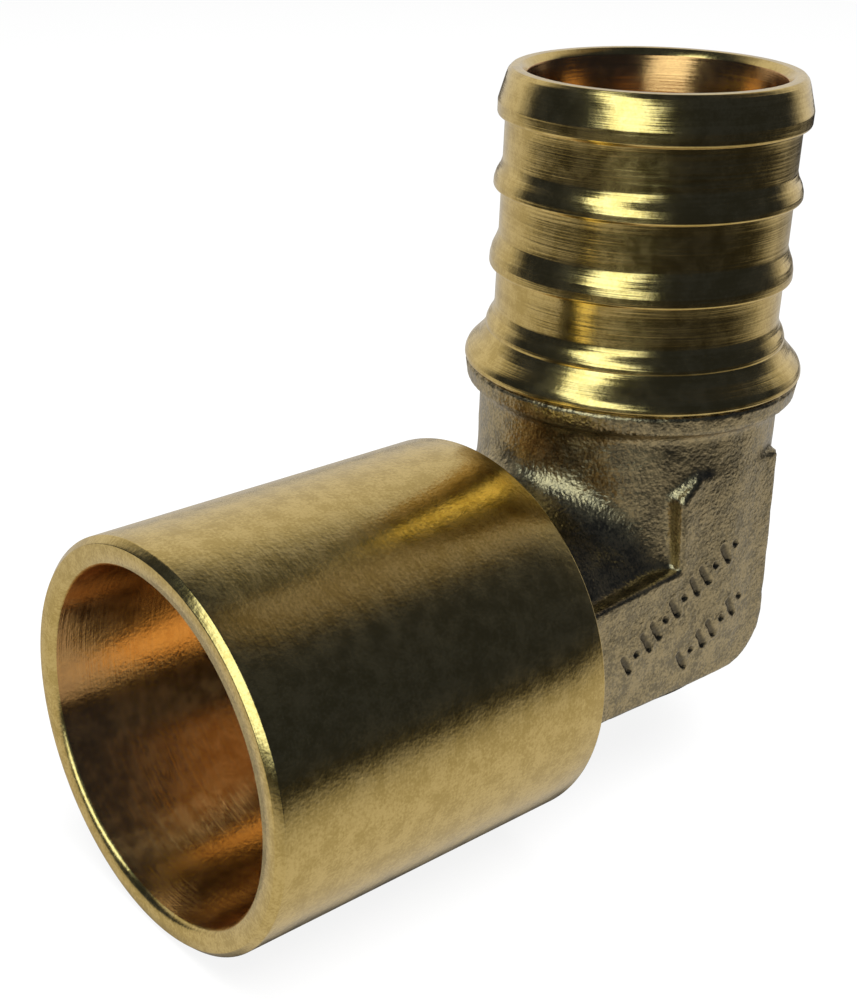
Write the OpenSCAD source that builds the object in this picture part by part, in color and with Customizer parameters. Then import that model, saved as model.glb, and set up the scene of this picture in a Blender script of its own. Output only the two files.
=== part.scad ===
// Elbow fitting in one forged and turned brass piece: a solder cup for a copper
// tube on one end, and a ribbed barb with a stop collar for a plastic pipe on
// the other, at 90 degrees. The waterway steps down from the cup to the barb.
// The origin is the tube stop at the bottom of the solder cup. +Z is the barb's
// axis direction, and the cup opens towards -X. All lengths are millimetres.

/* [Solder cup] */
// bore of the cup that takes the copper tube
cup_bore_d = 22.33; // [21.5:0.01:23]
// length of the cup's wall from the mouth to the tube stop
cup_depth = 19.05; // [14:0.05:22]
// outside diameter of the turned cup
cup_outer_d = 26; // [25.4:0.1:30]
// length of the turned cup measured on its outside
cup_outer_len = 25.15; // [24.5:0.05:30]
// distance from the crossing of the two axes to the cup's mouth
centre_to_mouth = 39.88; // [38:0.02:48]
// chamfer on the outer edge of the mouth
mouth_outer_chamfer = 0.42; // [0.2:0.01:0.8]
// radial width of the lead-in chamfer inside the mouth
mouth_lead_in = 0.14; // [0.05:0.01:0.4]
// length of that lead-in along the axis
mouth_lead_in_len = 0.5; // [0.2:0.05:1]
// included angle of the drill that leaves the stop shoulder
stop_angle = 118; // [90:1:140]
// small break on the sharp rear edge of the cup
rear_edge_break = 0.15; // [0.05:0.05:0.4]

/* [Body] */
// diameter of the forged arm between the cup and the corner
arm_d = 19.7; // [19:0.1:20]
// diameter of the forged neck between the corner and the collar
neck_d = 20.1; // [20:0.1:21.2]
// distance over the two flat side pads
pad_across = 19.7; // [19.2:0.1:20.4]
// outer edge of the pads, measured from the barb's axis
pad_outer = 4.95; // [4.6:0.05:5.4]
// inner edge of the pads at the inside corner, from the barb's axis
pad_inner = 4.6; // [4.2:0.05:5]
// half width of the pads along the arm
pad_arm_half = 4.6; // [4.2:0.05:5]
// height of the pads above the cup's axis
pad_top = 11.3; // [10.5:0.1:12.5]
// radius of the pads' outer corner
pad_corner_r = 3.6; // [2.5:0.1:4.2]
// draft of the pads' edges over their length
pad_draft = 0.6; // [0.2:0.05:1]

/* [Barb] */
// distance from the crossing of the two axes to the barb's end
centre_to_barb_end = 35.4; // [34.8:0.05:37]
// bore of the barb and of the waterway behind it
waterway_d = 16.3; // [15:0.1:16.8]
// bore of the arm behind the tube stop
arm_waterway_d = 16.1; // [14.8:0.1:16.2]
// diameter of the barb between its ribs
root_d = 18.86; // [18.2:0.02:19.2]
// diameter over the ribs
crest_d = 19.9; // [19.5:0.02:20.4]
// diameter of the barb's end face
end_face_d = 18.3; // [17.6:0.1:18.8]
// chamfer between the end face and the bore
end_lead_in = 0.42; // [0.2:0.02:0.6]
// width of the first crest
lead_land = 0.78; // [0.5:0.02:1.2]
// width of the second crest
second_land = 0.74; // [0.5:0.02:1.2]
// width of the third crest
third_land = 1.08; // [0.5:0.02:1.3]
// width of the fourth crest, which stands above the collar
fourth_land = 0.3; // [0.2:0.02:0.6]
// length of the slope above the ribs
rib_slope = 0.75; // [0.4:0.05:1.1]
// length of the undercut below each rib
undercut = 0.2; // [0.1:0.02:0.4]
// height of the lower edge of the first crest above the cup's axis
first_z = 32.52; // [32:0.02:32.7]
// height of the lower edge of the second crest
second_z = 27.82; // [27:0.02:28.4]
// height of the lower edge of the third crest
third_z = 22.58; // [22:0.02:23.4]
// height of the lower edge of the fourth crest
fourth_z = 18.2; // [17.9:0.02:18.6]

/* [Collar] */
// diameter of the collar at its upper edge
collar_d = 22.56; // [22:0.02:23.4]
// diameter of the collar at its lower, as-forged edge
collar_low_d = 22.14; // [21.6:0.02:22.5]
// height of the collar's upper edge above the cup's axis
collar_z = 16.35; // [16:0.05:16.7]
// width of the collar's rim
collar_h = 1.75; // [1.2:0.05:2.2]
// length of the lower flank down to the neck
collar_flank = 0.55; // [0.3:0.05:1]
// radius of the hollow upper flank
flank_r = 2.8; // [2.4:0.1:4]

/* [Hidden] */
$fn = 160;
brass = [0.70, 0.58, 0.32];
wall_x = -centre_to_mouth;
stop_x = cup_depth - centre_to_mouth;
cup_rear_x = cup_outer_len - centre_to_mouth;
cup_r = cup_bore_d / 2;
outer_r = cup_outer_d / 2;
arm_r = arm_d / 2;
neck_r = neck_d / 2;
root_r = root_d / 2;
crest_r = crest_d / 2;
water_r = waterway_d / 2;
arm_water_r = arm_waterway_d / 2;
cone_len = (cup_r - arm_water_r) / tan(stop_angle / 2);
collar_low_z = collar_z - collar_h;
over = 2;

// outside of the cup and the arm, drawn as radius against x and turned about X
module cup_and_arm() {
  rotate([0, 90, 0]) rotate_extrude() {
    polygon([
      [0, wall_x],
      [outer_r - mouth_outer_chamfer, wall_x],
      [outer_r, wall_x + mouth_outer_chamfer],
      [outer_r, cup_rear_x - rear_edge_break],
      [outer_r - rear_edge_break, cup_rear_x],
      [arm_r, cup_rear_x],
      [arm_r, 0],
      [0, 0]
    ]);
  }
}

// neck that ends in a ball, which makes the round heel of the elbow
module neck_and_heel() {
  rotate_extrude() {
    intersection() {
      circle(r = neck_r);
      translate([0, -neck_r - 1]) square([neck_r + 1, neck_r + 1]);
    }
    square([neck_r, collar_low_z - collar_flank + 0.02]);
  }
}

// outline of one L shaped side pad, seen from the side
module pad_outline() {
  cx = pad_outer - pad_corner_r;
  cz = pad_corner_r - pad_arm_half;
  translate([cx, cz]) circle(r = pad_corner_r);
  polygon([
    [cup_rear_x - 1, pad_arm_half - pad_draft],
    [cup_rear_x - 1, pad_draft * 0.5 - pad_arm_half],
    [cx, -pad_arm_half],
    [cx, cz],
    [pad_outer, cz],
    [pad_outer - pad_draft, pad_top],
    [-pad_inner - pad_draft * 1.4, pad_top],
    [-pad_inner, pad_arm_half + pad_draft * 0.5]
  ]);
}

// both side pads, as one L shaped slab through the body
module side_pads() {
  rotate([90, 0, 0]) linear_extrude(height = pad_across, center = true) {
    pad_outline();
  }
}

// one rib of the barb as radius against height: slope above, undercut below
module rib_profile(low, land, slope) {
  polygon([
    [0, low - undercut],
    [root_r - 0.01, low - undercut],
    [crest_r, low],
    [crest_r, low + land],
    [root_r - 0.01, low + land + slope],
    [0, low + land + slope]
  ]);
}

// leading ring of the barb, tapered towards the end
module lead_profile() {
  top = centre_to_barb_end;
  polygon([
    [0, first_z - undercut],
    [root_r - 0.01, first_z - undercut],
    [crest_r, first_z],
    [crest_r, first_z + lead_land],
    [end_face_d / 2 + 0.32, top - 0.62],
    [end_face_d / 2 + 0.2, top - 0.2],
    [end_face_d / 2, top],
    [0, top]
  ]);
}

// stop collar with a hollow upper flank and a short lower flank
module collar_profile() {
  r_in = crest_r - 0.05;
  z_in = fourth_z - 0.02;
  r_out = collar_d / 2 - 0.06;
  z_out = collar_z + 0.27;
  run = norm([r_out - r_in, z_in - z_out]);
  sag = flank_r - sqrt(flank_r * flank_r - run * run / 4);
  nx = (z_in - z_out) / run;
  nz = (r_out - r_in) / run;
  difference() {
    polygon([
      [0, collar_low_z - collar_flank],
      [neck_r - 0.05, collar_low_z - collar_flank],
      [collar_low_d / 2, collar_low_z],
      [collar_d / 2, collar_z],
      [r_out, z_out],
      [r_in, z_in],
      [0, z_in]
    ]);
    translate([(r_in + r_out) / 2 + nx * (flank_r - sag), (z_in + z_out) / 2 + nz * (flank_r - sag)])
      circle(r = flank_r);
  }
}

// whole outside of the barb, turned about Z
module barb() {
  rotate_extrude() {
    square([root_r, first_z]);
    lead_profile();
    rib_profile(second_z, second_land, rib_slope);
    rib_profile(third_z, third_land, rib_slope);
    rib_profile(fourth_z, fourth_land, rib_slope);
    collar_profile();
  }
}

// cup bore with its lead-in, the drilled stop and the waterway of the arm
module cup_bore() {
  rotate([0, 90, 0]) rotate_extrude() {
    polygon([
      [0, wall_x - over],
      [cup_r + mouth_lead_in, wall_x - over],
      [cup_r + mouth_lead_in, wall_x],
      [cup_r, wall_x + mouth_lead_in_len],
      [cup_r, stop_x],
      [arm_water_r, stop_x + cone_len],
      [arm_water_r, 0],
      [0, 0]
    ]);
  }
}

// waterway of the barb, which ends in a ball at the corner
module barb_bore() {
  top = centre_to_barb_end;
  rotate_extrude() {
    intersection() {
      circle(r = water_r);
      translate([0, -water_r - 1]) square([water_r + 1, water_r + 1]);
    }
    polygon([
      [0, -0.01],
      [water_r, -0.01],
      [water_r, top - end_lead_in],
      [water_r + end_lead_in, top],
      [water_r + end_lead_in, top + over],
      [0, top + over]
    ]);
  }
}

module elbow() {
  color(brass) translate([-stop_x, 0, 0]) difference() {
    union() {
      cup_and_arm();
      neck_and_heel();
      side_pads();
      barb();
    }
    cup_bore();
    barb_bore();
  }
}

elbow();
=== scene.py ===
"""Looks for the brass elbow: turned solder cup, blasted forging with flat side pads, turned barb."""
import itertools
import math

import bpy
import numpy as np
from mathutils import Euler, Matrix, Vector


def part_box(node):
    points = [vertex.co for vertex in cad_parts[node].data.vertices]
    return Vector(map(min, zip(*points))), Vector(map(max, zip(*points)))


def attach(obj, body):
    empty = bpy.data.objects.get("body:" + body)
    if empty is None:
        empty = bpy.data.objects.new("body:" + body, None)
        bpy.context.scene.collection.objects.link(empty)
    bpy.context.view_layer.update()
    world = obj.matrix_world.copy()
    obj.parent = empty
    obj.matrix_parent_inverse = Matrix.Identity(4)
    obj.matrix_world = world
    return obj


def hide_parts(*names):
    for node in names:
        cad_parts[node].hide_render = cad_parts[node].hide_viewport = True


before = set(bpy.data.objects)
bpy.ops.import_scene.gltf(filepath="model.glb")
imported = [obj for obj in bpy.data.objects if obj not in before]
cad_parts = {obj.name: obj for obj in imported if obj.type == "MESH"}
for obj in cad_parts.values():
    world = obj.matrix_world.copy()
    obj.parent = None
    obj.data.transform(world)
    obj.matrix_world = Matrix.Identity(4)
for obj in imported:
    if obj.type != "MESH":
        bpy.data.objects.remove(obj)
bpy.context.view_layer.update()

# Sizes in mm. The frame's origin is the tube stop, and CROSS is where the two axes cross on X.
# All other places are measured from that crossing, as in the CAD source.
CROSS = 20.83
FACET = 0.008            # keeps the turned cup inside the CAD model's facets
box_low, box_high = (1000.0 * np.array(corner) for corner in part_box("elbow"))
MOUTH = box_low[0] - CROSS
BARB_TOP = box_high[2]
CUP_R = box_high[1] - FACET
STOP = -CROSS
REAR = -14.73            # rear face of the turned cup
CUP_BORE = 11.165
ARM_R = 9.85
NECK_R = 10.05
PAD_Y = 9.85
WATER_R = 8.15
ARM_WATER_R = 8.05
ROOT_R = 9.43
CREST_R = 9.95
TURNED_END = 8.8         # the turned bores end here, inside the forging
WATER_END = 9.9          # the forging's waterway runs this far into them
MESH_STEP = 0.30
WATER_STEP = 0.7         # the waterway's wall is plain, so it takes a coarser mesh
TURNED_BARB, BORE_BARB, TURNED_CUP, BORE_CUP, FORGED = range(5)


# Small tools
def smooth_noise(p, scale, seed):
    """Value noise on points p, about -1 to 1, with features of the given size."""
    size = 32
    table = np.random.default_rng(seed).uniform(-1, 1, (size, size, size))
    q = p / scale + 100.0
    cell = np.floor(q).astype(int)
    f = q - cell
    f = f * f * (3 - 2 * f)
    out = 0
    for corner in itertools.product((0, 1), repeat=3):
        weight = np.prod(np.where(corner, f, 1 - f), axis=1)
        i, j, k = ((cell + corner) % size).T
        out = out + weight * table[i, j, k]
    return out


def smoothstep(a, b, x):
    t = np.clip((x - a) / (b - a), 0, 1)
    return t * t * (3 - 2 * t)


def smooth_min(a, b, k):
    """The lesser of a and b, with a fillet of about size k where they meet."""
    h = np.clip(0.5 + 0.5 * (b - a) / k, 0, 1)
    return b + (a - b) * h - k * h * (1 - h)


def outline_distance(px, pz, pts):
    """Signed distance to a closed 2D outline, negative inside."""
    d = np.full(px.shape, 1e9)
    inside = np.zeros(px.shape, bool)
    for (x0, z0), (x1, z1) in zip(pts, pts[1:] + pts[:1]):
        ex, ez = x1 - x0, z1 - z0
        t = np.clip(((px - x0) * ex + (pz - z0) * ez) / (ex * ex + ez * ez), 0, 1)
        d = np.minimum(d, (px - x0 - t * ex) ** 2 + (pz - z0 - t * ez) ** 2)
        if z0 != z1:
            inside ^= ((z0 > pz) != (z1 > pz)) & (px < ex * (pz - z0) / (z1 - z0) + x0)
    return np.where(inside, -np.sqrt(d), np.sqrt(d))


def rounded(points, steps=4):
    """Polyline from (radius, height, corner rounding) points, for the turned profiles."""
    pts = [np.array(p[:2], float) for p in points]
    out = [pts[0]]
    for a, b, c, (_, _, rounding) in zip(pts[:-2], pts[1:-1], pts[2:], points[1:-1]):
        if rounding <= 0:
            out.append(b)
            continue
        u, v = a - b, c - b
        lu, lv = np.linalg.norm(u), np.linalg.norm(v)
        u, v = u / lu, v / lv
        half = math.acos(np.clip(u @ v, -1, 1)) / 2
        cut = min(rounding / math.tan(half), lu * 0.48, lv * 0.48)
        for s in np.linspace(0, 1, steps):
            out.append(b + u * cut * (1 - s) ** 2 + v * cut * s ** 2)
    out.append(pts[-1])
    return np.array(out)


def resample(line, longest):
    """The same polyline with no segment over the longest length."""
    out = [line[0]]
    for a, b in zip(line[:-1], line[1:]):
        n = max(1, int(math.ceil(np.linalg.norm(b - a) / longest)))
        for k in range(1, n + 1):
            out.append(a + (b - a) * k / n)
    return np.array(out)


def lathe(profile, angles, axis):
    """Closed surface of revolution of (radius, height) points. Heights run along the axis."""
    k, n = len(profile), len(angles)
    r, h = profile[:, 0][:, None], profile[:, 1][:, None]
    a, b = r * np.cos(angles), r * np.sin(angles)
    h = np.broadcast_to(h, (k, n))
    v = np.stack([a, b, h] if axis == "z" else [h, a, b], 2)
    i, j = np.meshgrid(np.arange(k), np.arange(n), indexing="ij")
    i2, j2 = (i + 1) % k, (j + 1) % n
    quads = np.stack([i * n + j, i * n + j2, i2 * n + j2, i2 * n + j], 2).reshape(-1, 4)
    return v.reshape(-1, 3), quads


class Shell:
    """Collects vertices and faces of the one brass piece, with a material number for each face."""

    def __init__(self):
        self.verts, self.faces, self.slots, self.count = [], [], [], 0

    def add(self, verts, faces, slot):
        self.verts.append(verts)
        self.faces.append(faces + self.count)
        self.slots.append(np.broadcast_to(slot, (len(faces),)).copy())
        self.count += len(verts)


# Turned barb, as (radius, height, corner rounding) points from the collar up
def rib(low, land, shoulder, slope, foot):
    """One rib: square below, a short land, then a slope back to the root.

    The land ends at that height above the rib's lower edge, and the slope ends at the foot.
    Shoulder and slope are (radius, height above the lower edge) points between the two.
    """
    return [
        (ROOT_R, low - 0.24, 0.06),
        (CREST_R - 0.05, low - 0.12, 0.08),
        (CREST_R, low, 0.1),
        (CREST_R - 0.02, low + land, 0.4),
        (shoulder[0], low + shoulder[1], 0.5),
        (slope[0], low + slope[1], 0.5),
        (ROOT_R, low + foot, 0.6)]


def collar():
    """Rim, shoulder and hollow flank of the stop collar, up to the fourth rib's land."""
    return [
        (9.2, 15.7, 0), (11.1, 15.9, 0.05), (11.27, 16.12, 0.1), (11.24, 16.4, 0.3), (11.1, 16.72, 0.4),
        (10.78, 17.06, 0.5), (10.36, 17.5, 0.5), (10.08, 17.95, 0.2), (9.94, 18.2, 0.08)]


def leading_ring():
    """Square below, a wide land, then the taper to the end face."""
    return [
        (ROOT_R, 32.28, 0.06), (CREST_R - 0.05, 32.42, 0.08), (CREST_R, 32.55, 0.12),
        (CREST_R + 0.01, 33.3, 0.35), (9.56, 34.75, 0.6), (9.42, 35.15, 0.2),
        (9.2, BARB_TOP, 0.1), (8.62, BARB_TOP, 0)]


def add_barb(shell):
    fourth = rib(18.32, 0.2, (9.78, 0.58), (9.56, 0.93), 1.38)
    third = rib(22.62, 0.48, (9.82, 0.98), (9.6, 1.48), 1.98)
    second = rib(27.86, 0.34, (9.8, 0.76), (9.56, 1.19), 1.64)
    outer = rounded(collar() + fourth[2:] + third + second + leading_ring())
    ring_from = 32.5
    lower, ring = outer[outer[:, 1] < ring_from], outer[outer[:, 1] >= ring_from]
    inner = np.array([
        (8.57, BARB_TOP - 0.02), (WATER_R + 0.03, BARB_TOP - 0.4), (WATER_R, BARB_TOP - 0.46),
        (WATER_R, TURNED_END), (9.2, TURNED_END)])
    profile = np.vstack([resample(lower, 0.9), resample(ring, 0.16), inner])
    angles = np.radians(np.concatenate([np.arange(-190, -40, 0.8), np.arange(-40, 170, 3.0)]))
    v, f = lathe(profile, angles, "z")
    is_bore = (np.hypot(v[:, 0], v[:, 1]) < WATER_R + 0.1)[f].all(1)
    shell.add(v, f, np.where(is_bore, BORE_BARB, TURNED_BARB))


# Turned cup
def add_cup(shell):
    chamfer, edge, lead_in, stop_cone = 0.42, 0.12, 0.38, 1.85
    outer = rounded([
        (9.0, REAR + 0.02, 0), (9.0, REAR, 0), (CUP_R, REAR, edge), (CUP_R, MOUTH + chamfer + 0.01, edge),
        (CUP_R - chamfer, MOUTH, edge), (CUP_BORE + 0.29, MOUTH, 0)])
    inner = np.array([
        (CUP_BORE, MOUTH + lead_in), (CUP_BORE, STOP), (ARM_WATER_R, STOP + stop_cone),
        (ARM_WATER_R, -TURNED_END), (9.0, -TURNED_END)])
    profile = np.vstack([resample(outer, 2.6), inner])
    v, f = lathe(profile, np.radians(np.arange(0, 360, 1.0)), "x")
    is_bore = ((np.hypot(v[:, 1], v[:, 2]) < CUP_BORE + 0.02) & (v[:, 0] > MOUTH + 0.35))[f].all(1)
    shell.add(v, f[:, ::-1], np.where(is_bore, BORE_CUP, TURNED_CUP))


# Forged body, as a signed distance that is negative inside the metal
def pad_outline(inner_edge):
    """Outline of one L shaped side pad. Its inner edge is the one at the inside corner."""
    outer_edge, arm_half, top, corner_r, draft = 4.95, 4.6, 11.3, 3.6, 0.6
    cx, cz = outer_edge - corner_r, corner_r - arm_half
    turns = np.linspace(-math.pi / 2, 0, 9)
    arc = [(cx + corner_r * math.cos(t), cz + corner_r * math.sin(t)) for t in turns]
    start = [(REAR - 1.5, arm_half - draft), (REAR - 1.5, draft * 0.5 - arm_half)]
    end = [
        (outer_edge - draft, top), (1.0 - inner_edge, top), (-inner_edge - draft * 0.9, top - 1.35),
        (-inner_edge, arm_half + draft * 0.5)]
    return start + arc + end


def body_sdf(x, y, z):
    rz = np.hypot(x, y)
    ball = np.sqrt(x * x + y * y + z * z)
    neck = np.maximum(np.where(z > 0, rz, ball) - NECK_R, z - 14.6)
    arm = np.maximum(np.where(x < 0, np.hypot(y, z), ball) - ARM_R, REAR - 0.9 - x)
    inside_corner = smoothstep(0.5, 5.0, np.minimum(-x, z))
    fillet = 0.25 + 2.3 * inside_corner * np.sqrt(np.clip(1 - (y / 9.0) ** 2, 0, 1))
    d = smooth_min(neck, arm, fillet)
    edge_r = 0.25
    for side, inner_edge in ((-1, 4.6), (1, 3.3)):
        out = outline_distance(x, z, pad_outline(inner_edge)) + edge_r
        face = side * y - PAD_Y + edge_r
        outside = np.hypot(np.maximum(out, 0), np.maximum(face, 0))
        pad = np.minimum(np.maximum(out, face), 0) + outside - edge_r
        d = smooth_min(d, np.maximum(pad, -side * y), 0.4)
    flange = outline_distance(rz, z, [(0, 14.1), (10.1, 14.1), (11.0, 14.62), (11.2, 15.9), (0, 15.9)])
    d = smooth_min(d, flange, 0.5)
    neck_bore = np.where(z > 0, rz, ball) - WATER_R
    arm_bore = np.maximum(np.hypot(y, z) - ARM_WATER_R, x)
    return np.maximum(d, -np.minimum(neck_bore, arm_bore))


def surface_nets(fn, low, high, step):
    """Quads on the zero surface of fn in a box, with one vertex in each cell that it crosses."""
    axes = [np.arange(lo, hi + step, step) for lo, hi in zip(low, high)]
    value = fn(*np.meshgrid(*axes, indexing="ij"))
    negative = value < 0
    nx, ny, nz = (n - 1 for n in value.shape)
    corners = np.array(list(itertools.product((0, 1), repeat=3)))
    cells = [value[i:nx + i, j:ny + j, k:nz + k] for i, j, k in corners]
    count = sum((c < 0).astype(int) for c in cells)
    crossed = (count > 0) & (count < 8)
    index = -np.ones(crossed.shape, int)
    index[crossed] = np.arange(crossed.sum())
    at_corner = np.stack([c[crossed] for c in cells], 1)
    base = np.argwhere(crossed)
    total = np.zeros((len(base), 3))
    hits = np.zeros(len(base))
    for a, b in itertools.combinations(range(8), 2):
        if np.abs(corners[a] - corners[b]).sum() != 1:
            continue
        va, vb = at_corner[:, a], at_corner[:, b]
        hit = (va < 0) != (vb < 0)
        t = np.where(hit, va / np.where(hit, va - vb, 1), 0)
        total[hit] += (corners[a] + (corners[b] - corners[a]) * t[:, None])[hit]
        hits[hit] += 1
    verts = np.array(low) + (base + total / hits[:, None]) * step
    faces = []
    for axis in range(3):
        here, there = [slice(1, -1)] * 3, [slice(1, -1)] * 3
        here[axis], there[axis] = slice(0, -1), slice(1, None)
        first, second = negative[tuple(here)], negative[tuple(there)]
        cross = np.argwhere(first != second)
        offset = np.ones(3, int)
        offset[axis] = 0
        q = cross + offset
        du, dw = np.eye(3, dtype=int)[(axis + 1) % 3], np.eye(3, dtype=int)[(axis + 2) % 3]
        ring = ((0, 0), (1, 0), (1, 1), (0, 1))
        quad = np.stack([index[tuple((q - s * du - t * dw).T)] for s, t in ring], 1)
        outward = first[tuple(cross.T)]
        quad[~outward] = quad[~outward][:, ::-1]
        faces.append(quad)
    return verts, np.vstack(faces)


def normals(p, e=0.02):
    x, y, z = p.T
    g = np.stack([
        body_sdf(x + e, y, z) - body_sdf(x - e, y, z),
        body_sdf(x, y + e, z) - body_sdf(x, y - e, z),
        body_sdf(x, y, z + e) - body_sdf(x, y, z - e)], 1)
    return g / np.maximum(np.linalg.norm(g, axis=1, keepdims=True), 1e-9)


def in_waterway(p):
    """True for points on the wall of the waterway."""
    rz, rx = np.hypot(p[:, 0], p[:, 1]), np.hypot(p[:, 1], p[:, 2])
    in_neck = (rz < WATER_R + 0.1) & (p[:, 2] > 0)
    in_arm = (rx < ARM_WATER_R + 0.1) & (p[:, 0] < 0)
    return in_neck | in_arm | (np.linalg.norm(p, axis=1) < WATER_R + 0.1)


def body_mesh(step):
    """The forged body's surface, and for each vertex whether it lies in the waterway."""
    v, f = surface_nets(body_sdf, (REAR - 1.4, -11.9, -10.7), (11.9, 11.9, 16.3), step)
    for _ in range(2):
        v = v - normals(v) * np.clip(body_sdf(*v.T), -0.1, 0.1)[:, None]
    return v, f, in_waterway(v)


def used_only(v, f):
    """The same faces without the vertices that none of them uses."""
    keep, f = np.unique(f, return_inverse=True)
    return v[keep], f.reshape(-1, 4)


def add_waterway(shell):
    v, f, wet = body_mesh(WATER_STEP)
    in_neck = (np.hypot(v[:, 0], v[:, 1]) < WATER_R + 0.3) & (v[:, 2] > WATER_END)
    in_arm = (np.hypot(v[:, 1], v[:, 2]) < ARM_WATER_R + 0.3) & (v[:, 0] < -WATER_END)
    shell.add(*used_only(v, f[(wet & ~in_neck & ~in_arm)[f].all(1)]), BORE_CUP)


# Marks on the front pad: two slanted rows of plain sunken bars and dots, which say nothing
LEAN = math.radians(31.5)
PITCH = 1.05
HALF_BAR = 0.62
MARK_DEPTH = 0.19
ROWS = [((-9.3, -0.46), "b.bb.b.bb.b."), ((-3.6, -2.07), "b.bb.b.")]


def mark_distance(x, z):
    """Distance on the pad to the middle line of the nearest bar, or to the nearest dot."""
    d = np.full(x.shape, 9.0)
    for (x0, z0), pattern in ROWS:
        s = (x - x0) * math.cos(LEAN) + (z - z0) * math.sin(LEAN)
        t = -(x - x0) * math.sin(LEAN) + (z - z0) * math.cos(LEAN)
        for k, kind in enumerate(pattern):
            half = HALF_BAR if kind == "b" else 0.0
            d = np.minimum(d, np.hypot(s - k * PITCH, t - np.clip(t, -half, half)))
    return d


def split_quads(v, f, chosen, parts):
    """Cut each chosen quad into parts by parts smaller ones."""
    t = np.linspace(0, 1, parts + 1)
    weights = np.stack([np.outer(1 - t, 1 - t), np.outer(t, 1 - t), np.outer(t, t), np.outer(1 - t, t)])
    points = np.einsum("qkc,kij->qijc", v[f[chosen]], weights).reshape(-1, 3)
    _, first, back = np.unique(np.round(points, 4), axis=0, return_index=True, return_inverse=True)
    ids = back.reshape(-1, parts + 1, parts + 1) + len(v)
    small = np.stack([ids[:, :-1, :-1], ids[:, 1:, :-1], ids[:, 1:, 1:], ids[:, :-1, 1:]], 3)
    return np.vstack([v, points[first]]), np.vstack([f[~chosen], small.reshape(-1, 4)])


def add_forging(shell):
    """Adds the forged outside, and returns how deep in a mark each of its vertices lies, 0 to 0.8."""
    v, f, wet = body_mesh(MESH_STEP)
    v, f = used_only(v, f[~wet[f].any(1)])
    middle = v[f].mean(1)
    by_mark = mark_distance(middle[:, 0], middle[:, 2]) < 0.75
    v, f = split_quads(v, f, by_mark & (middle[:, 1] < -9.7) & (middle[:, 0] > REAR + 0.3), 3)
    relief = 0.028 * smooth_noise(v, 1.7, 1) + 0.020 * smooth_noise(v, 0.7, 2)
    v = v + normals(v) * relief[:, None]
    ragged_x = v[:, 0] + 0.06 * smooth_noise(v, 0.35, 5)
    ragged_z = v[:, 2] + 0.06 * smooth_noise(v, 0.35, 6)
    d = mark_distance(ragged_x, ragged_z)
    on_pad = v[:, 1] < -9.6
    sink = MARK_DEPTH * smoothstep(0.34, 0.1, d) - 0.03 * smoothstep(0.62, 0.4, d)
    v[:, 1] += np.where(on_pad, sink, 0)
    shell.add(v, f, FORGED)
    return np.where(on_pad, smoothstep(0.32, 0.16, d), 0) * 0.8


def make_elbow():
    """The one brass piece, with the attribute cut that darkens the sunken marks."""
    shell = Shell()
    add_barb(shell)
    add_cup(shell)
    add_waterway(shell)
    forging_cut = add_forging(shell)
    verts = (np.vstack(shell.verts) + np.array([CROSS, 0, 0])) * 0.001
    faces = np.vstack(shell.faces)
    cut = np.zeros(len(verts), np.float32)
    cut[-len(forging_cut):] = forging_cut
    mesh = bpy.data.meshes.new("elbow_brass")
    mesh.from_pydata(verts.tolist(), [], faces.tolist())
    mesh.polygons.foreach_set("material_index", np.concatenate(shell.slots).astype(np.int32))
    mesh.polygons.foreach_set("use_smooth", np.ones(len(faces), bool))
    mesh.attributes.new("cut", "FLOAT", "POINT").data.foreach_set("value", cut)
    mesh.validate()
    print("elbow_brass triangles", 2 * len(faces))
    piece = bpy.data.objects.new("elbow_brass", mesh)
    bpy.context.scene.collection.objects.link(piece)
    return piece


# Node helpers
class Nodes:
    """Short calls that add shader nodes to one tree and return their first output."""

    def __init__(self, tree):
        self.tree = tree
        self.tree.nodes.clear()

    def node(self, kind, **props):
        n = self.tree.nodes.new(kind)
        for key, value in props.items():
            setattr(n, key, value)
        return n

    def put(self, socket, value):
        if isinstance(value, bpy.types.NodeSocket):
            self.tree.links.new(value, socket)
        else:
            socket.default_value = value

    def split(self, vector):
        n = self.node("ShaderNodeSeparateXYZ")
        self.put(n.inputs[0], vector)
        return n.outputs

    def math(self, op, a, b=0.0, c=0.0):
        n = self.node("ShaderNodeMath", operation=op)
        for socket, value in zip(n.inputs, (a, b, c)):
            self.put(socket, value)
        return n.outputs[0]

    def product(self, *factors):
        out = factors[0]
        for factor in factors[1:]:
            out = self.math("MULTIPLY", out, factor)
        return out

    def vec(self, op, a, b=None, scale=None):
        n = self.node("ShaderNodeVectorMath", operation=op)
        self.put(n.inputs[0], a)
        if b is not None:
            self.put(n.inputs[1], b)
        if scale is not None:
            self.put(n.inputs["Scale"], scale)
        return n.outputs[0]

    def ramp(self, x, a, b, lo=0.0, hi=1.0):
        n = self.node("ShaderNodeMapRange", interpolation_type="SMOOTHSTEP")
        for name, value in (("Value", x), ("From Min", a), ("From Max", b), ("To Min", lo), ("To Max", hi)):
            self.put(n.inputs[name], value)
        return n.outputs[0]

    def noise(self, vector, scale, detail=2.0, rough=0.5):
        n = self.node("ShaderNodeTexNoise")
        for name, value in (("Vector", vector), ("Scale", scale), ("Detail", detail), ("Roughness", rough)):
            self.put(n.inputs[name], value)
        return n.outputs[0]

    def mix_colour(self, fac, a, b):
        n = self.node("ShaderNodeMix", data_type="RGBA")
        self.put(n.inputs["Factor"], fac)
        self.put(n.inputs[6], a)
        self.put(n.inputs[7], b)
        return n.outputs[2]

    def mix_shader(self, fac, a, b):
        n = self.node("ShaderNodeMixShader")
        self.put(n.inputs[0], fac)
        self.put(n.inputs[1], a)
        self.put(n.inputs[2], b)
        return n.outputs[0]


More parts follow.
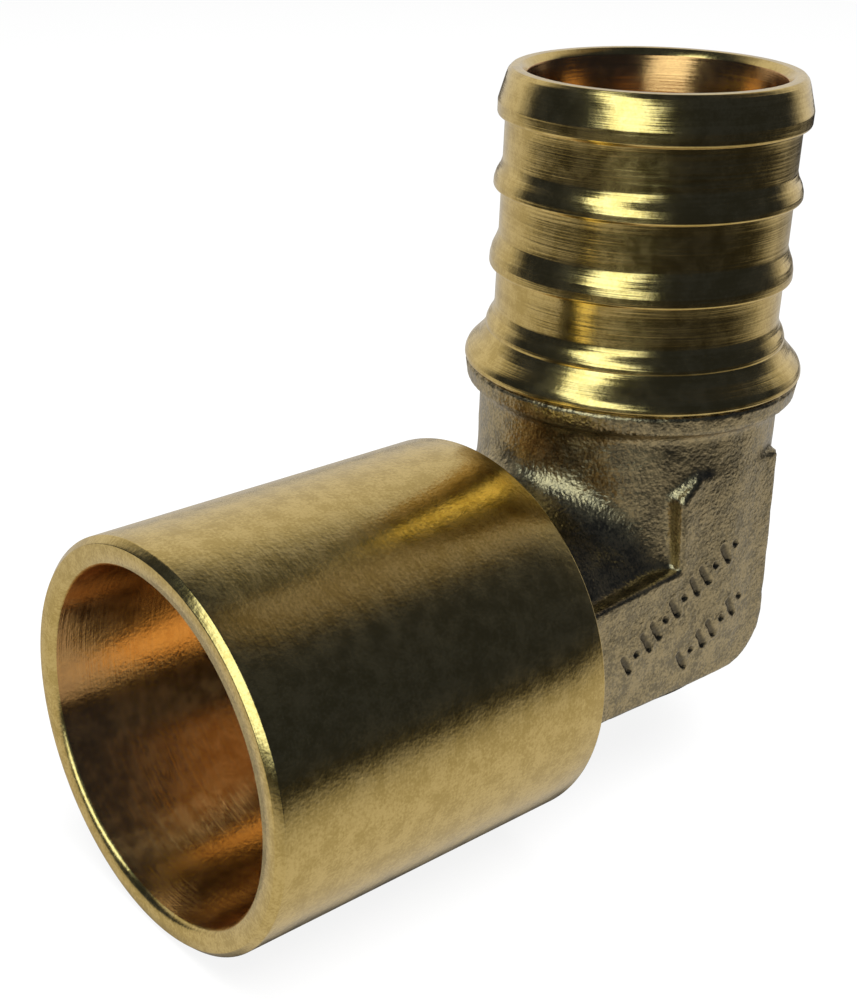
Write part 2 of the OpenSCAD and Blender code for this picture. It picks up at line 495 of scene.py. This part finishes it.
# Brass. The finishes differ in colour, tool lines, grain and the spread of the highlights; the bores' darker,
# redder colour is painted shade.
BRIGHT = {"dark": (0.60, 0.42, 0.13), "light": (0.80, 0.58, 0.21)}
# Painted shade: the bores' brass is darker and redder than the turned outside, for the shade inside them.
SHADED_BORE = {"dark": (0.50, 0.27, 0.10), "light": (0.62, 0.35, 0.13)}
DULL = {"dark": (0.26, 0.21, 0.12), "light": (0.54, 0.42, 0.22)}
CUT_COLOUR = (0.09, 0.075, 0.05, 1.0)
FINISHES = [
    dict(name="brass_barb", axis="z", **BRIGHT, rough=(0.18, 0.24), spread=0.55, groove=0.018, grain=0.004,
         streak=0.5, speck=0.5),
    dict(name="brass_barb_bore", axis="z", **SHADED_BORE, rough=(0.18, 0.24), spread=0.55, groove=0.016, grain=0.004,
         streak=0.5, speck=0.3),
    dict(name="brass_cup", axis="x", **BRIGHT, rough=(0.20, 0.26), spread=0.5, groove=0.006, grain=0.010,
         streak=0.2, speck=0.8),
    dict(name="brass_cup_bore", axis="x", **SHADED_BORE, rough=(0.16, 0.22), spread=0.6, groove=0.010, grain=0.008,
         streak=0.4, speck=0.3),
    dict(name="brass_forged", axis=None, **DULL, rough=(0.30, 0.38), spread=0.0, groove=0.03, grain=0.055,
         streak=0.0, speck=1.0)]


def tool_lines(m, p, axis):
    """Noise in rings round the axis, which also step along it, and the direction along those rings."""
    x, y, z = m.split(p)
    along, a, b, step = (z, x, y, -1.3) if axis == "z" else (x, y, z, 1.3)
    radius = m.math("SQRT", m.math("ADD", m.math("MULTIPLY", a, a), m.math("MULTIPLY", b, b)))
    ring = m.math("MULTIPLY_ADD", radius, step, along)
    comb = m.node("ShaderNodeCombineXYZ")
    for socket, value, scale in zip(comb.inputs, (ring, a, b), (4.0, 0.10, 0.10)):
        m.put(socket, m.math("MULTIPLY", value, scale))
    pole = (0.0, 0.0, 1.0) if axis == "z" else (1.0, 0.0, 0.0)
    normal = m.node("ShaderNodeNewGeometry").outputs["Normal"]
    around = m.vec("CROSS_PRODUCT", pole, p)
    tangent = m.vec("NORMALIZE", m.vec("CROSS_PRODUCT", around, normal))
    return m.noise(comb.outputs[0], 1.0, 2.0, 0.6), tangent


def brass(name, axis, dark, light, rough, spread, groove, grain, streak, speck):
    """Axis is x or z for turned faces with grooves round that axis, or None for the blasted forging."""
    mat = bpy.data.materials.new(name)
    mat.use_nodes = True
    m = Nodes(mat.node_tree)
    bsdf = m.node("ShaderNodeBsdfPrincipled")
    bsdf.inputs["Metallic"].default_value = 1.0
    bsdf.inputs["Anisotropic"].default_value = spread
    p = m.vec("SCALE", m.node("ShaderNodeTexCoord").outputs["Object"], scale=1000.0)
    p = m.vec("SUBTRACT", p, (CROSS, 0.0, 0.0))
    mottle = m.noise(p, 0.8, 4.0, 0.6)
    grit = m.noise(p, 3.8, 1.0, 0.5)
    dust = m.noise(p, 5.5, 2.0, 0.6)
    tone = m.math("MULTIPLY_ADD", m.math("SUBTRACT", dust, 0.5), speck, mottle)
    if axis:
        relief, tangent = tool_lines(m, p, axis)
        m.put(bsdf.inputs["Tangent"], tangent)
        tone = m.math("MULTIPLY_ADD", m.math("SUBTRACT", relief, 0.5), streak, tone)
    else:
        relief = m.noise(p, 1.6, 2.0, 0.5)
    bump = m.node("ShaderNodeBump")
    bump.inputs["Strength"].default_value = 1.0
    bump.inputs["Distance"].default_value = 0.001
    height = m.math("ADD", m.math("MULTIPLY", relief, groove), m.math("MULTIPLY", grit, grain))
    m.put(bump.inputs["Height"], height)
    m.put(bsdf.inputs["Normal"], bump.outputs[0])
    colour = m.mix_colour(m.ramp(tone, 0.3, 0.7), (*dark, 1.0), (*light, 1.0))
    if not axis:
        cut = m.node("ShaderNodeAttribute", attribute_name="cut")
        colour = m.mix_colour(cut.outputs["Fac"], colour, CUT_COLOUR)
    m.put(bsdf.inputs["Base Color"], colour)
    m.put(bsdf.inputs["Roughness"], m.ramp(mottle, 0.3, 0.7, *rough))
    m.put(m.node("ShaderNodeOutputMaterial").inputs["Surface"], bsdf.outputs[0])
    return mat


# Floor, in metres. Seen by the camera it is plain and white, with the object's shadow. In
# reflections it glows with painted light that falls off towards the front, the left and the right,
# with a painted shadow under the cup.
FLOOR_Z = -0.01302
FLOOR_CORNERS = [(-0.3, -0.2, FLOOR_Z), (0.4, -0.2, FLOOR_Z), (0.4, 0.6, FLOOR_Z), (-0.3, 0.6, FLOOR_Z)]
FLOOR_WHITE = 0.88       # share of plain white in what the camera sees, the rest is the shaded floor
SHEET_LEVEL = 0.58
SHEET_DARK = 0.02
PAINTED_UNDER_SHADOW = -0.95      # painted shadow: how much the sheet's glow is darkened right under the cup


def painted_floor_light(m):
    """Painted light: how bright the floor glows in the metal, as emission, with a painted shadow under the
    cup.
    """
    x, y, _ = m.split(m.node("ShaderNodeNewGeometry").outputs["Position"])
    front = m.ramp(m.math("MULTIPLY_ADD", x, 0.15, y), -0.085, -0.018)
    right = m.ramp(x, 0.26, 0.12)
    left = m.ramp(x, -0.13, -0.06)
    # Painted shadow: the floor's glow is darkened in a box right under the cup.
    under = m.product(
        m.ramp(x, -0.021, -0.017), m.ramp(x, 0.04, 0.03), m.ramp(y, -0.0098, -0.0072), m.ramp(y, 0.02, 0.01))
    painted_shadow_factor = m.math("MULTIPLY_ADD", under, PAINTED_UNDER_SHADOW, 1.0)
    return m.math("MULTIPLY_ADD", m.product(front, right, left, painted_shadow_factor), SHEET_LEVEL, SHEET_DARK)


def make_floor():
    mat = bpy.data.materials.new("floor_pale")
    mat.use_nodes = True
    m = Nodes(mat.node_tree)
    path = m.node("ShaderNodeLightPath")
    by_camera = path.outputs["Is Camera Ray"]
    not_camera = m.math("SUBTRACT", 1.0, by_camera)
    emission = m.node("ShaderNodeEmission")
    m.put(emission.inputs["Strength"], m.math("MULTIPLY_ADD", not_camera, painted_floor_light(m), by_camera))
    diffuse = m.node("ShaderNodeBsdfDiffuse")
    diffuse.inputs["Color"].default_value = (0.86, 0.86, 0.86, 1)
    share = m.math("MAXIMUM", m.math("MULTIPLY", by_camera, FLOOR_WHITE), path.outputs["Is Glossy Ray"])
    surface = m.mix_shader(share, diffuse.outputs[0], emission.outputs[0])
    m.put(m.node("ShaderNodeOutputMaterial").inputs["Surface"], surface)
    mesh = bpy.data.meshes.new("floor")
    mesh.from_pydata(FLOOR_CORNERS, [], [(0, 1, 2, 3)])
    mesh.materials.append(mat)
    sheet = bpy.data.objects.new("floor", mesh)
    bpy.context.scene.collection.objects.link(sheet)
    return sheet


# Studio round the object. Angles are in degrees: azimuth 0 is +Y and 90 is +X.
ROOM_DARK = (0.024, 0.031, 0.055)
DIFFUSE_FILL = (0.2, 0.2, 0.2, 1)
WHITE = (1, 1, 1, 1)
WINDOWS = [
    dict(azimuth=(-22, 104), elevation=(-95, 48), soft=(12, 11), colour=(0.66, 0.66, 0.65)),
    dict(azimuth=(-149, -112), elevation=(6, 66), soft=(3, 4), colour=(2.0, 2.4, 2.6), lean=0.83),
    dict(azimuth=(-126, -98), elevation=(-28, 4), soft=(6, 5), colour=(0.08, 0.08, 0.08)),
    dict(azimuth=(88, 122), elevation=(44, 66), soft=(8, 6), colour=(0.16, 0.13, 0.09))]


def window(w, azimuth_here, elevation_here, azimuth, elevation, soft, colour, lean=0.0):
    """A soft-edged bright field. Lean moves it in azimuth by that much for each degree up."""
    leaned = w.math("MULTIPLY_ADD", elevation_here, -lean, azimuth_here)
    level = 1.0
    for value, (start, end), edge in ((leaned, azimuth, soft[0]), (elevation_here, elevation, soft[1])):
        rise = w.ramp(value, start - edge, start + edge)
        fall = w.ramp(value, end + edge, end - edge)
        level = w.product(level, rise, fall)
    return w.vec("SCALE", colour, scale=level)


def make_world():
    world = bpy.data.worlds.new("studio")
    bpy.context.scene.world = world
    world.use_nodes = True
    w = Nodes(world.node_tree)
    dx, dy, dz = w.split(w.node("ShaderNodeTexCoord").outputs["Generated"])
    azimuth_here = w.math("MULTIPLY", w.math("ARCTAN2", dx, dy), 180 / math.pi)
    elevation_here = w.math("MULTIPLY", w.math("ARCSINE", dz), 180 / math.pi)
    total = ROOM_DARK
    for facts in WINDOWS:
        total = w.vec("ADD", window(w, azimuth_here, elevation_here, **facts), total)
    studio, fill, white = (w.node("ShaderNodeBackground") for _ in range(3))
    for background, colour in ((studio, total), (fill, DIFFUSE_FILL), (white, WHITE)):
        w.put(background.inputs["Color"], colour)
    path = w.node("ShaderNodeLightPath")
    lit = w.mix_shader(path.outputs["Is Diffuse Ray"], studio.outputs[0], fill.outputs[0])
    seen = w.mix_shader(path.outputs["Is Camera Ray"], lit, white.outputs[0])
    w.put(w.node("ShaderNodeOutputWorld").inputs["Surface"], seen)


def direction(azimuth, elevation):
    a, e = math.radians(azimuth), math.radians(elevation)
    return Vector((math.sin(a) * math.cos(e), math.cos(a) * math.cos(e), math.sin(e)))


def make_lamp():
    """Soft lamp overhead, which gives the floor its shadow."""
    light = bpy.data.lights.new("over", "AREA")
    light.shape = "SQUARE"
    light.size = 0.45
    light.energy = 7.0
    light.color = (1.0, 0.99, 0.97)
    lamp = bpy.data.objects.new("over", light)
    way = direction(190, 74)
    lamp.location = way * 0.5
    lamp.rotation_euler = (-way).to_track_quat("-Z", "Y").to_euler()
    lamp.visible_glossy = False
    bpy.context.scene.collection.objects.link(lamp)


def make_camera():
    """The photograph's view, found by fitting a pinhole camera to the object's edges."""
    lens = bpy.data.cameras.new("cam")
    lens.sensor_width = 36
    lens.lens = 58.0
    lens.shift_x, lens.shift_y = 0.1285, 0.0016
    lens.clip_start, lens.clip_end = 0.002, 5
    camera = bpy.data.objects.new("cam", lens)
    camera.location = (-0.061294, -0.068878, 0.052556)
    camera.rotation_euler = Euler([math.radians(a) for a in (65.5806, -0.3057, -37.7269)])
    bpy.context.scene.collection.objects.link(camera)
    bpy.context.scene.camera = camera


elbow = make_elbow()
for finish in FINISHES:
    elbow.data.materials.append(brass(**finish))
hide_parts("elbow")
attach(elbow, "root")
floor = make_floor()
make_world()
make_lamp()
make_camera()
bpy.context.scene.view_settings.view_transform = "Standard"
